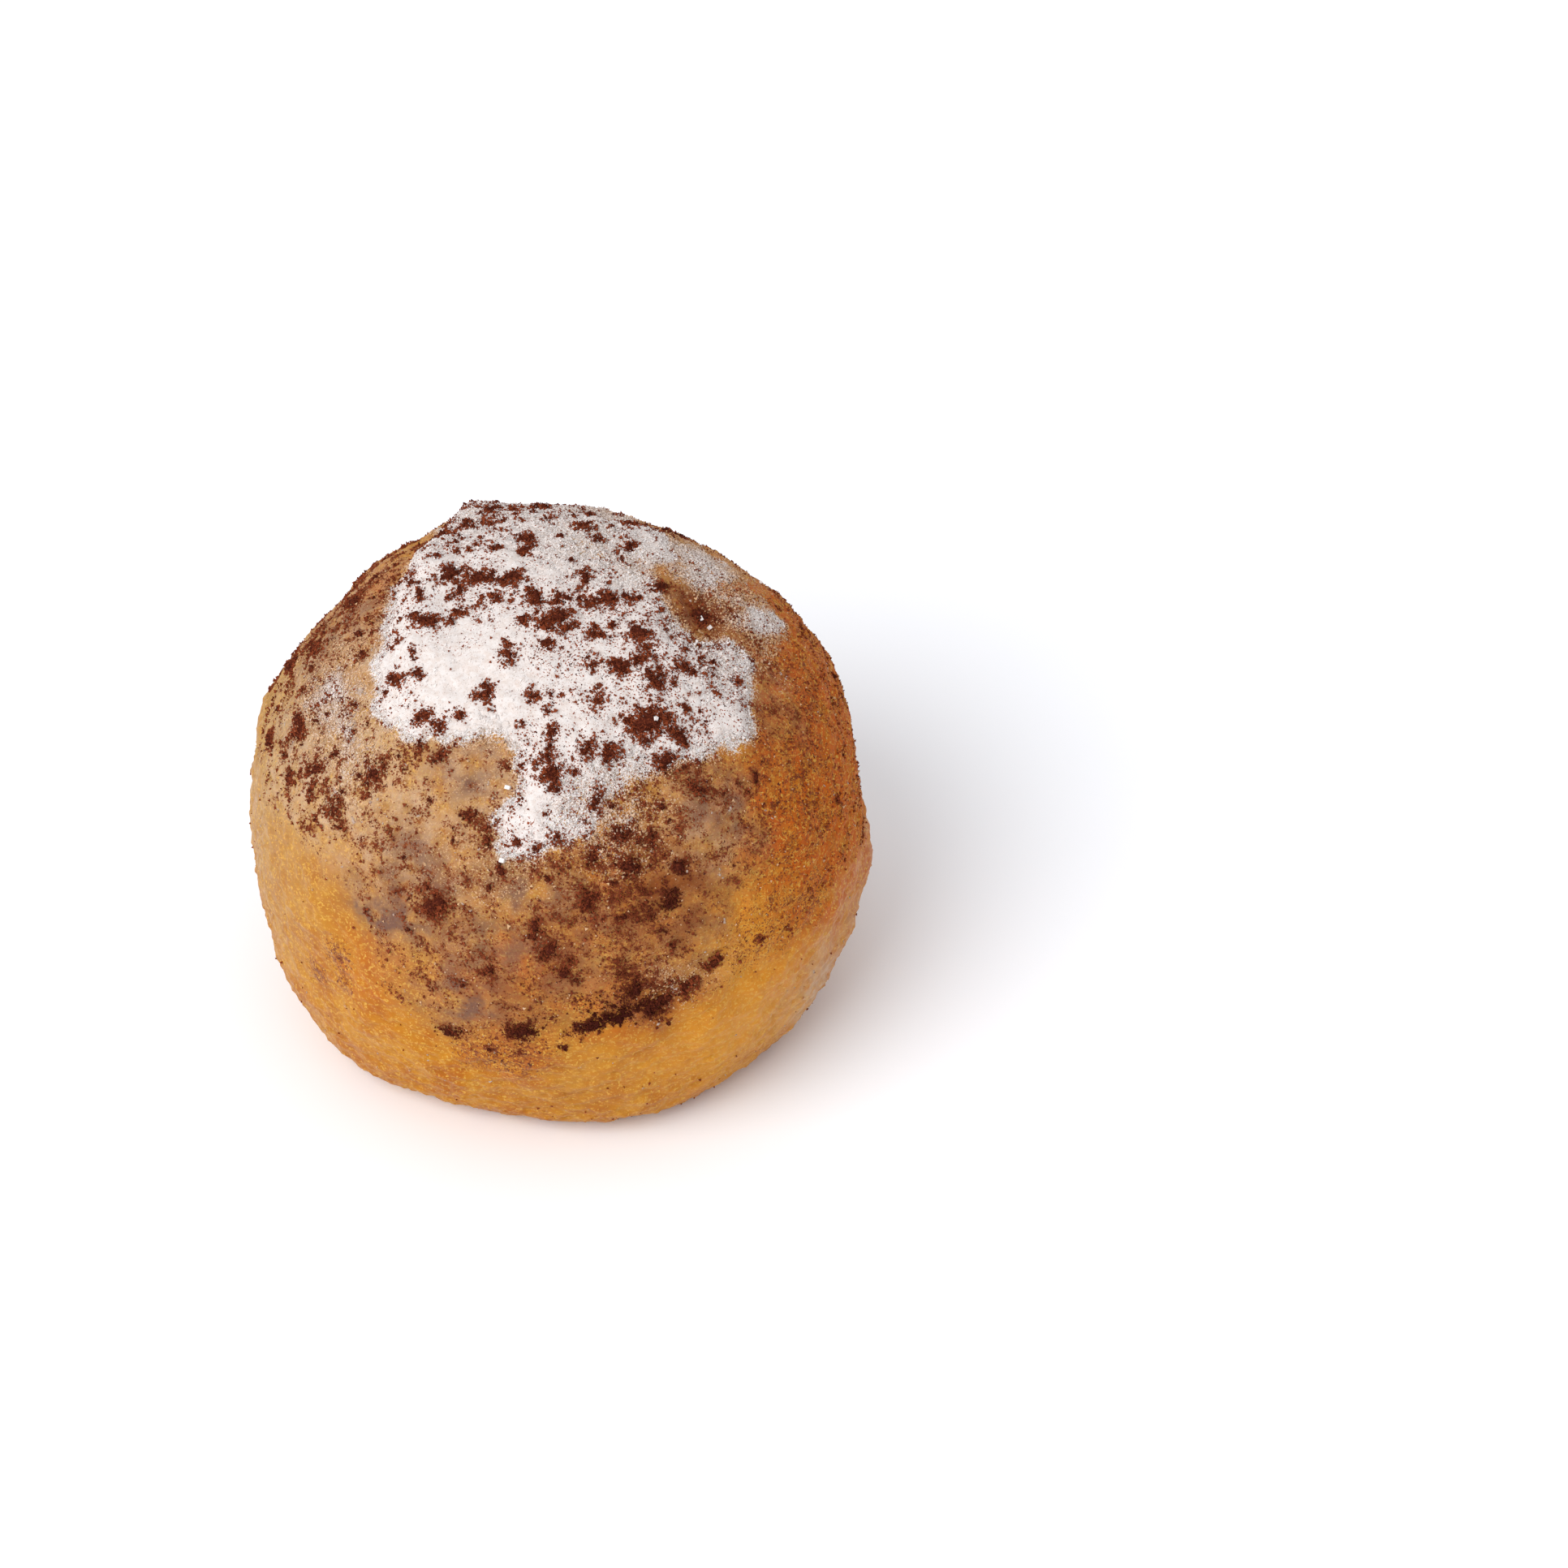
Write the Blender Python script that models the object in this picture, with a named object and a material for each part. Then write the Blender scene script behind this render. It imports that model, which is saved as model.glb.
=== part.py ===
"""A round filled bunuelo: a ball of fried dough that rests on a flat foot.

Units are metres and +Z is up. The origin is the middle of the foot, under the middle of the ball.
A place on the dough is a direction from its heart: azimuth in degrees round +Z, counted from +X,
and climb in degrees above the waist. The side at azimuth -90 is the front.
"""

from typing import NamedTuple

import bmesh
import bpy
import numpy as np
from mathutils import Vector, noise

# Driving dimensions
WIDTH = 0.0445  # across the waist
HEIGHT = 0.0354  # from the foot to the crown
WAIST_HEIGHT = 0.0149  # how high the widest level lies
KEEL_DEPTH = 0.0235  # how far the lower half would reach below the waist if it had no foot
SQUARENESS = 2.15  # 2 is an ellipse, and more is boxier
FOOT_ROUNDING = 0.0020  # how high the rounded edge of the foot reaches
FOOT_TUCK = 0.0009  # how far the dough draws in there
FOOT_CORE = 0.0072  # nearer the middle than this the dough draws in less
KEEL_TUCK = 2  # the draw stops growing this many roundings below the top of the rounding
FOOT_SNAP = 0.00012  # corners this near the rest lie on it
FOOT_MERGE = 0.0000001  # corners this near the cut count as on it

GRID = 24  # how many pieces each edge of the starting icosahedron is cut into

# Dough that swells and sags as it fries
BUMP_SIZE = 0.0046
BUMP_HEIGHT = 0.00030
WRINKLE_SIZE = 0.0024
WRINKLE_HEIGHT = 0.00016
WRINKLE_OCTAVES = 3
NOISE_ORIGIN = Vector((3.1, 7.4, 1.9))

# Creases fade out past their ends, and carry a lip beside the furrow. In widths of the crease:
CREASE_FADE = 2
LIP_PLACE = 2
LIP_WIDTH = 2

# Icing sugar, sifted from above: it lies as a thin bed, and the cocoa on it as low mounds
SUGAR_DEPTH = 0.00022
SUGAR_EDGE = 0.0010
COCOA_HEIGHT = 0.00038
COCOA_FLATNESS = 4  # 2 is a bell, and more has a flatter top

# Colour, roughness
DOUGH_COLOUR = (0.52, 0.27, 0.075, 1.0)
DOUGH_ROUGHNESS = 0.55


class Lump(NamedTuple):
    """A rounded swelling of the dough, or a hollow where the height is negative."""

    azimuth: float
    climb: float
    reach: float  # degrees from its middle to where it has faded to a third
    height: float  # metres


class Crease(NamedTuple):
    """A fold line between two places: a furrow, with the dough on its left raised by step."""

    start: tuple  # azimuth, climb
    end: tuple
    width: float  # degrees
    depth: float  # metres
    step: float  # metres


class Plot(NamedTuple):
    """A rounded rectangle of sifted sugar, seen from above, in metres."""

    low: tuple
    high: tuple


class Mound(NamedTuple):
    """A clot of cocoa powder: where it lies, and how far it spreads, in metres."""

    azimuth: float
    climb: float
    spread: float


LUMPS = (
    Lump(4, 7, 14, -0.0008),
    Lump(33, 33, 15, -0.0005),
    Lump(54, 45, 15, -0.0005),
    Lump(80, 50, 12, -0.0001),
    Lump(113, 49, 9, 0.0008),
    Lump(133, 40, 10, -0.0002),
    Lump(155, 26, 12, -0.0008),
    Lump(167, 15, 8, 0.0007),
    Lump(205, -28, 22, 0.0004),
    Lump(220, -33, 15, 0.0004),
    Lump(262, -34, 16, -0.0004),
    Lump(282, -34, 14, 0.0005),
    Lump(330, -24, 16, 0.0003),
    Lump(352, -7, 10, 0.0004),
    Lump(353, -5, 3, 0.0005),
    Lump(26, 18, 7, 0.0004),
    Lump(-8, 61, 6, -0.0008),
    Lump(-5, 70, 8, 0.0003),
    Lump(-110, 50, 9, 0.0004),
    Lump(-107, 24, 8, -0.0005),
    Lump(-68, 19, 7, -0.0005),
    Lump(-90, 26, 7, 0.0003),
    Lump(-128, 10, 9, -0.0003),
    Lump(-56, 32, 8, 0.0003),
    Lump(100, 10, 20, 0.0005),
    Lump(75, -12, 16, -0.0004),
    Lump(130, -10, 14, 0.0003),
)

CREASES = (
    Crease((124, 50), (158, 59), 2.4, 0.00030, 0.0005),
    Crease((158, 59), (-156, 56), 2.4, 0.00035, 0.0005),
    Crease((-156, 56), (-139, 40), 2.6, 0.00035, 0.0003),
    Crease((-76, -3), (-97, -6), 2.2, 0.00035, 0.0003),
    Crease((-60, 4), (-76, -3), 2.2, 0.00040, 0.0004),
    Crease((-33, 4), (-62, -5), 2.6, 0.00025, 0.0004),
    Crease((-95, 30), (-100, 4), 3.0, 0.00025, 0.0),
    Crease((-80, 27), (-84, 6), 3.0, 0.00020, 0.0),
    Crease((-118, 30), (-113, 2), 3.0, 0.00020, 0.0),
    Crease((20, 30), (48, 12), 3.0, 0.00030, 0.0002),
    Crease((80, 24), (128, 16), 3.0, 0.00030, 0.0002),
)

SUGAR_PLOTS = (
    Plot((-0.0108, -0.0112), (0.0138, 0.0052)),
    Plot((-0.0066, 0.0020), (0.0088, 0.0100)),
    Plot((-0.0030, -0.0186), (0.0040, -0.0080)),
)

COCOA_MOUNDS = (
    Mound(-57, 50, 0.0016),
    Mound(-89, 45, 0.0012),
    Mound(-32, 79, 0.0011),
    Mound(-83, 77, 0.0011),
    Mound(-39, 67, 0.0011),
    Mound(170, 68, 0.0011),
    Mound(-159, 64, 0.0010),
    Mound(75, 68, 0.0010),
    Mound(-112, 20, 0.0013),
    Mound(-74, 28, 0.0011),
    Mound(-139, 26, 0.0011),
    Mound(-74, -2, 0.0012),
    Mound(-95, -5, 0.0010),
)


def clear_scene():
    for obj in list(bpy.data.objects):
        bpy.data.objects.remove(obj)


def towards(azimuth, climb):
    """The unit vector for a place given in degrees."""
    turn, rise = np.radians(azimuth), np.radians(climb)
    return np.array([np.cos(turn) * np.cos(rise), np.sin(turn) * np.cos(rise), np.sin(rise)])


def geodesic_sphere():
    """A ball of nearly equal triangles, as a bmesh."""
    ball = bmesh.new()
    bmesh.ops.create_icosphere(ball, subdivisions=1, radius=1.0)
    bmesh.ops.subdivide_edges(ball, edges=ball.edges[:], cuts=GRID - 1, use_grid_fill=True)
    bmesh.ops.triangulate(ball, faces=ball.faces[:])
    for corner in ball.verts:
        corner.co.normalize()
    return ball


def ball_radius(directions):
    """How far the plain ball reaches from its heart: an ellipse, a little boxy, flatter above than below."""
    level = np.hypot(directions[:, 0], directions[:, 1])
    upright = directions[:, 2]
    reach = np.where(upright > 0, HEIGHT - WAIST_HEIGHT, KEEL_DEPTH)
    across = (level / (WIDTH / 2)) ** SQUARENESS
    along = (np.abs(upright) / reach) ** SQUARENESS
    return (across + along) ** (-1 / SQUARENESS)


def degrees_from(directions, place):
    return np.degrees(np.arccos(np.clip(directions @ place, -1, 1)))


def lump_relief(directions):
    relief = np.zeros(len(directions))
    for lump in LUMPS:
        away = degrees_from(directions, towards(lump.azimuth, lump.climb))
        relief += lump.height * np.exp(-((away / lump.reach) ** 2))
    return relief


def crease_relief(directions):
    """Each crease follows the great circle between its ends and fades out past them."""
    relief = np.zeros(len(directions))
    for crease in CREASES:
        start, end = towards(*crease.start), towards(*crease.end)
        side = np.cross(start, end)
        side /= np.linalg.norm(side)
        half_length = degrees_from(start[None], end)[0] / 2
        middle = (start + end) / np.linalg.norm(start + end)
        beside = np.degrees(np.arcsin(np.clip(directions @ side, -1, 1)))
        from_middle = degrees_from(directions, middle)
        beyond = np.maximum(np.sqrt(np.maximum(from_middle**2 - beside**2, 0)) - half_length, 0)
        fade = np.exp(-((beyond / (CREASE_FADE * crease.width)) ** 2))
        furrow = -crease.depth * np.exp(-((beside / crease.width) ** 2))
        from_lip = (beside - LIP_PLACE * crease.width) / (LIP_WIDTH * crease.width)
        lip = crease.step * np.exp(-(from_lip**2))
        relief += fade * (furrow + lip)
    return relief


def dough_relief(points):
    """Pebbly bumps with finer wrinkles between them."""
    relief = np.empty(len(points))
    for i, point in enumerate(points):
        place = Vector(point)
        bump = noise.noise(place / BUMP_SIZE + NOISE_ORIGIN)
        wrinkle = noise.fractal(place / WRINKLE_SIZE - NOISE_ORIGIN, 1.0, 2.0, WRINKLE_OCTAVES)
        relief[i] = BUMP_HEIGHT * bump + WRINKLE_HEIGHT * wrinkle
    return relief


def sugar_relief(points):
    """The bed of sugar on the upper half, under the plots seen from above."""
    cover = np.zeros(len(points))
    for plot in SUGAR_PLOTS:
        inside = np.minimum(points[:, :2] - plot.low, plot.high - points[:, :2]).min(axis=1)
        cover = np.maximum(cover, np.clip(1 / 2 + inside / SUGAR_EDGE, 0, 1))
    return SUGAR_DEPTH * cover * (points[:, 2] > WAIST_HEIGHT)


def cocoa_relief(directions, radius):
    relief = np.zeros(len(directions))
    for mound in COCOA_MOUNDS:
        away = np.radians(degrees_from(directions, towards(mound.azimuth, mound.climb))) * radius
        relief = np.maximum(relief, COCOA_HEIGHT * np.exp(-((away / mound.spread) ** COCOA_FLATNESS)))
    return relief


def dough_points(directions):
    """Where the surface lies in each direction, keel and all, with its middle over the origin."""
    radius = ball_radius(directions)
    heart = np.array([0.0, 0.0, WAIST_HEIGHT])
    smooth = heart + directions * radius[:, None]
    relief = lump_relief(directions) + crease_relief(directions) + dough_relief(smooth)
    relief += sugar_relief(smooth) + cocoa_relief(directions, radius)
    points = heart + directions * (radius + relief)[:, None]
    low = np.maximum(1 - points[:, 2] / FOOT_ROUNDING, 0)
    tuck = FOOT_TUCK * np.minimum(low, KEEL_TUCK) ** 2
    outward = np.maximum(np.hypot(points[:, 0], points[:, 1]), FOOT_CORE)
    points[:, :2] *= (1 - tuck / outward)[:, None]
    points[np.abs(points[:, 2]) < FOOT_SNAP, 2] = 0.0
    middle = (points.min(axis=0) + points.max(axis=0)) / 2
    points[:, :2] -= middle[:2]
    return points


def cut_foot(ball):
    """Cuts the keel off level with the rest and closes the cut with one flat face."""
    everything = ball.verts[:] + ball.edges[:] + ball.faces[:]
    up = (0, 0, 1)
    cut = bmesh.ops.bisect_plane(ball, geom=everything, dist=FOOT_MERGE, plane_no=up, clear_inner=True)
    rim = [part for part in cut["geom_cut"] if isinstance(part, bmesh.types.BMEdge)]
    bmesh.ops.contextual_create(ball, geom=rim)


def dough_material():
    material = bpy.data.materials.new("fried_dough")
    material.use_nodes = True
    shader = material.node_tree.nodes["Principled BSDF"]
    shader.inputs["Base Color"].default_value = DOUGH_COLOUR
    shader.inputs["Roughness"].default_value = DOUGH_ROUGHNESS
    shader.inputs["Metallic"].default_value = 0.0
    return material


def make_bunuelo():
    ball = geodesic_sphere()
    directions = np.array([corner.co for corner in ball.verts], dtype=float)
    for corner, point in zip(ball.verts, dough_points(directions)):
        corner.co = point
    cut_foot(ball)
    mesh = bpy.data.meshes.new("bunuelo")
    ball.to_mesh(mesh)
    ball.free()
    mesh.shade_smooth()
    mesh.materials.append(dough_material())
    bunuelo = bpy.data.objects.new("bunuelo", mesh)
    bpy.context.scene.collection.objects.link(bunuelo)
    return bunuelo


clear_scene()
make_bunuelo()
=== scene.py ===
"""A whole filled bunuelo: fried dough, sifted with icing sugar and then with cocoa.

Run as a script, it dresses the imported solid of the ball. Everything is in metres, with +Z up.
A place on the ball is a direction from its heart, as azimuth round +Z from +X and climb above the
waist, both in degrees. The front of the ball is at azimuth -90.
"""

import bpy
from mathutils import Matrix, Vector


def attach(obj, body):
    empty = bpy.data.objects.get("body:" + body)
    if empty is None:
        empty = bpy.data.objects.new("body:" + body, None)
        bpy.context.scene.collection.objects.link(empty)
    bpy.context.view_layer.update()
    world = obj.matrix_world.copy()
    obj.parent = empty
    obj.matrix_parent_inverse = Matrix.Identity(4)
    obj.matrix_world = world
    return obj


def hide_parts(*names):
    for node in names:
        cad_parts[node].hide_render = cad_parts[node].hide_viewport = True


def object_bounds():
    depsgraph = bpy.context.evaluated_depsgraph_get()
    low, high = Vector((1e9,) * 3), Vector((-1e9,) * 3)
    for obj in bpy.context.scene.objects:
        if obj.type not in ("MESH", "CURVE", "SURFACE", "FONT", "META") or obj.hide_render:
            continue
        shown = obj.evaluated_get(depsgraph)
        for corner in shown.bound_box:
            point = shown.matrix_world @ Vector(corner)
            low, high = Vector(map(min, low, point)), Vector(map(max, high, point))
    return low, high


bl_info = {
    "name": "Bunuelo",
    "version": (1, 0, 0),
    "blender": (4, 5, 0),
    "location": "View3D > Sidebar > Bunuelo",
    "description": "Fried dough with icing sugar and cocoa on a pale table",
    "category": "Add Mesh",
}

from typing import NamedTuple

import bmesh
import bpy
import numpy as np
from bpy.props import FloatProperty, FloatVectorProperty, IntProperty, PointerProperty
from mathutils import Vector, noise
from mathutils.bvhtree import BVHTree

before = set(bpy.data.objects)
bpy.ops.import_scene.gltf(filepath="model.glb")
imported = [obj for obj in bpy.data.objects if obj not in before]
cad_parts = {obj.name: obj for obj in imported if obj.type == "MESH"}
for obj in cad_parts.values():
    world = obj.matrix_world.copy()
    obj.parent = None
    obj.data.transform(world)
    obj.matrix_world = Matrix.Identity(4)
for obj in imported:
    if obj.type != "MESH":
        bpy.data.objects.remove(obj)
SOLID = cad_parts["bunuelo"]
CAD_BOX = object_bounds()
LOW, HIGH = (np.array(corner) for corner in CAD_BOX)
HEIGHT = HIGH[2] - LOW[2]
HEART = np.array([0.0, 0.0, 0.417 * HEIGHT])  # level with the waist

MM = 0.001

SEED = 11
DOUGH_GRID = 88  # pieces per edge of the icosahedron that the fine skin starts from
FOOT_EDGE = (0.1 * MM, 1.5 * MM)  # heights between which the skin's relief sets in
FOOT_CLEAR = (0.2 * MM, 0.6 * MM)  # heights between which loose powder sets in

# Fields of the powders: how far in from the ragged rim a point lies
RIM = (-0.15 * MM, 0.45 * MM)  # the layer rises to its full height between these
HALO = (-0.75 * MM, 0.05 * MM)  # dust lies round a clot between these
THINNEST = 0.02 * MM  # least height of a layer of powder
SUNK = 0.05 * MM  # how deep its underside lies in the dough

# Splits of the skin under a powder, each from so far outside the rim to so far inside it
BED_LEVELS = ((0.12 * MM, 0.09 * MM), (0.01 * MM, 0.01 * MM))
CLOT_LEVELS = ((0.20 * MM, 0.16 * MM), (0.05 * MM, 0.04 * MM))

LOOSE_FADE = 3.0  # degrees past the sugar's outline that loose grains reach
SEAT = 0.25  # how far a grain's middle stands above the skin, as a share of its size
PIN_DOT = 0.34 * MM  # size of the darkest single crumbs
CRYSTAL_SEAT = 0.30
CRYSTAL_SIZES = (0.24 * MM, 0.40 * MM)
CRYSTAL_SIDES = (1.0, 0.85, 0.7)  # shares of its size
CRYSTAL_BEVEL = 0.03 * MM


# Where things lie -------------------------------------------------------------------------------


class Spot(NamedTuple):
    """A soft round patch on the dough."""

    azimuth: float
    climb: float
    reach: float  # degrees
    strength: float


class Clot(NamedTuple):
    """A ragged lump of cocoa. It turns from the level towards the crown."""

    azimuth: float
    climb: float
    length: float  # millimetres
    width: float
    turn: float  # degrees


class Sizes(NamedTuple):
    """Sizes of strewn pieces, in millimetres. Most lie near the middling one."""

    middling: float
    spread: float
    least: float
    most: float


def spots(*rows):
    return tuple(Spot(*row) for row in rows)


def clots(*rows):
    return tuple(Clot(*row) for row in rows)


SUGAR_GRAINS = Sizes(0.125, 0.35, 0.06, 0.28)
COCOA_CRUMBS = Sizes(0.145, 0.42, 0.07, 0.36)
SMALL_CLOTS = Sizes(0.31, 0.42, 0.16, 1.1)

# The sugar lies inside this outline, from the back left round by the front
SUGAR_OUTLINE = (
    (134, 54), (153, 60), (170, 58), (-167, 56), (-155, 52), (-144, 46), (-129, 46), (-117, 48),
    (-107, 51), (-98, 49), (-95, 43), (-101, 36), (-99, 29), (-91, 31), (-82, 33), (-77, 38),
    (-67, 41), (-60, 43), (-46, 42), (-37, 40), (-27, 45), (-17, 49), (-17, 54), (-26, 60),
    (-14, 68), (8, 72), (24, 64), (48, 60), (64, 52), (84, 44), (108, 42), (126, 46),
)
# The sugar lies thin here
SUGAR_THIN = spots(
    (60, 78, 14, 0.50), (84, 56, 18, 0.55), (70, 52, 9, 0.35), (10, 72, 9, 0.50),
    (-28, 52, 10, 0.45), (-84, 38, 7, 0.34), (-70, 41, 7, 0.42), (-20, 66, 8, 0.30),
    (-80, 41, 7, 0.36), (-66, 44, 6, 0.25), (-108, 53, 5, 0.26), (-140, 47, 5, 0.20),
    (-90, 33, 5, 0.25), (130, 54, 14, 0.48), (160, 62, 8, 0.25),
)
# A little sugar lies here, past the outline
SUGAR_STRAY = spots(
    (36, 50, 5, 0.30), (1, 49, 3.6, 0.75), (9, 45, 3.2, 0.70), (30, 60, 10, 0.50),
    (12, 57, 6, 0.40), (-6, 52, 5, 0.28), (-147, 42, 4, 0.36), (-160, 44, 6, 0.40),
    (-12, 44, 5, 0.20), (-75, 35, 7, 0.36), (-160, 38, 7, 0.26), (-68, 3, 7, 0.12),
    (-140, 36, 8, 0.26), (-100, 27, 10, 0.10),
)

# Sifted powder stops about here: azimuth, climb
DUST_EDGE = (
    (-180, 15), (-158, 17), (-140, 17), (-130, 12), (-120, -2), (-112, -9), (-101, -14),
    (-92, -9), (-80, -5), (-63, -3), (-48, 0), (-33, 3), (-10, 0), (10, 2), (40, 8), (90, 14),
    (150, 15), (180, 15),
)

# Thin dough that lets the dark filling show. The spots at (-8, 61) and (-66, 19) also darken two
# shadowed places, as painted shade.
FILLING_SHOWS = spots(
    (-108, 43, 6, 0.75), (-122, 14, 7, 0.95), (-114, 20, 9, 0.70), (-105, 0, 8, 0.90),
    (-119, 28, 6, 0.40), (-54, 33, 10, 0.62), (-66, 19, 5, 0.88), (-8, 61, 9, 0.97),
    (-20, 40, 8, 0.40), (-163, 38, 9, 0.60), (176, 48, 12, 0.50), (-96, 24, 9, 0.35),
    (-84, 14, 16, 0.45), (-98, 16, 12, 0.40), (-62, 10, 8, 0.35), (60, 30, 8, 0.5),
    (130, 24, 8, 0.5),
)
BROWNED = spots(
    (-6, 24, 30, 0.97), (10, 45, 20, 0.80), (-30, 12, 18, 0.70), (-76, 1, 9, 0.55),
    (178, 54, 14, 0.35), (-98, -10, 9, 0.30), (-125, -2, 9, 0.35), (-40, 28, 10, 0.50),
    (158, 50, 12, 0.40), (-94, 8, 8, 0.50), (-107, 5, 6, 0.35), (-77, 22, 12, 0.40),
    (80, 18, 24, 0.6),
)
PALE = spots(
    (-160, 8, 26, 0.60), (-175, 30, 24, 0.80), (-140, 42, 12, 0.75), (-42, -8, 11, 0.25),
    (-85, -20, 12, 0.20), (150, 0, 30, 0.5),
)
# Painted sheen: a pale film along the rims of the outline, low on the right and at the left edge
RIM_SHEEN = spots(
    (-30, -20, 10, 0.78), (-165, 10, 12, 0.15),
)
# Crust that cocoa has soaked into, with painted shade in the crease and in two shadowed places, at (-8,
# 61) and (-66, 19)
SOAKED_AND_SHADED = spots(
    (-66, 19, 7, 0.90), (-8, 61, 6, 0.80), (-73, 0, 6, 0.80), (-70, 28, 8, 0.35),
    (-88, 14, 6, 0.45), (-112, 19, 5, 0.45), (-98, 4, 7, 0.35),
)
BRIGHT = spots(
    (-48, -8, 16, 0.75), (-60, -16, 12, 0.45), (-52, 10, 9, 0.80), (-72, 1, 2.5, 0.80),
    (-81, 4, 5, 0.60), (-72, -18, 9, 0.30), (110, -6, 18, 0.5),
)
# A milky film of sugar, too thin to be white
HAZE = spots(
    (-104, 42, 10, 0.90), (-140, 38, 16, 0.80), (-122, 30, 11, 0.66), (-165, 43, 20, 0.95),
    (-158, 28, 10, 0.62), (158, 48, 12, 0.65), (-150, 30, 12, 0.62), (-86, 30, 12, 0.15),
    (-58, 31, 10, 0.70), (-112, 20, 16, 0.28), (-105, 0, 10, 0.18), (-68, 3, 8, 0.35),
    (-14, 50, 12, 0.30), (60, 60, 26, 0.55), (-80, 14, 14, 0.08),
)
COCOA_HEAVY = spots(
    (-73, 26, 12, 0.95), (-64, 36, 7, 0.60), (-88, 13, 9, 0.90), (-80, 8, 10, 0.60),
    (-76, 1, 8, 0.90), (-105, 4, 12, 0.45), (-112, 19, 6, 0.85), (-52, 36, 9, 0.55),
    (-66, 19, 5, 0.95), (-24, 22, 14, 0.35), (0, 34, 16, 0.40), (-10, 4, 8, 0.30),
    (-9, 57, 9, 0.80), (-38, 56, 12, 0.30), (-52, 50, 12, 0.42), (-36, 32, 6, 0.50),
    (-168, 51, 5, 0.22), (155, 47, 12, 0.60), (-22, 42, 9, 0.55), (-92, 51, 5, 0.40),
    (-75, 76, 16, 0.35), (-150, 30, 16, 0.60), (176, 42, 16, 0.38), (-130, 37, 10, 0.55),
    (-104, 36, 9, 0.55), (-82, 32, 7, 0.60), (-95, 24, 12, 0.20), (80, 60, 18, 0.42),
    (140, 48, 18, 0.5), (30, 30, 20, 0.3),
)
COCOA_LIGHT = spots(
    (-8, 22, 20, 0.25), (-54, 12, 8, 0.64), (-41, 47, 6, 0.65), (-94, 34, 4, 0.60),
    (-112, 36, 7, 0.50), (-160, 44, 8, 0.40), (34, 51, 9, 0.50), (60, 76, 12, 0.55),
    (-58, 32, 5, 0.60), (-98, 20, 5, 0.60), (-95, 13, 4, 0.40), (-115, 28, 4, 0.50),
    (-84, 4, 5, 0.50), (-62, 8, 5, 0.30), (-88, 40, 4, 0.5), (14, 40, 16, 0.25),
    (-124, 60, 12, 0.80), (-105, 56, 10, 0.55), (-132, 4, 12, 0.55), (-140, 14, 12, 0.35),
)
# A little reddish dust below the edge of the sifted part
COCOA_STRAY = spots(
    (-132, 0, 3.0, 0.80), (-139, -8, 2.5, 0.75), (-131, -6, 2.0, 0.60), (-97, -12, 5.0, 0.55),
    (-104, -13, 4.0, 0.45), (-36, 4, 4.0, 0.35), (-50, 6, 8.0, 0.18), (60, -4, 5.0, 0.5),
    (150, -2, 5.0, 0.5),
)
# Painted shade: the cocoa in the crease, and in a shadowed place above it, is darkened here
CREASE_SHADE = spots(
    (-78, -2, 9, 0.9), (-92, -5, 8, 0.7), (-110, -8, 6, 0.5), (-66, 19, 7, 0.7),
)
PIN_DOTS = (
    (-72, 10), (-60, 4), (-36, 5), (-41, 26), (-82, -12), (-80, -22), (-72, -22), (-91, -29),
    (-94, -31), (-154, 46), (30, 10), (75, 4), (120, -8), (165, -14), (-55, 57), (-98, 62),
)

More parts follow.
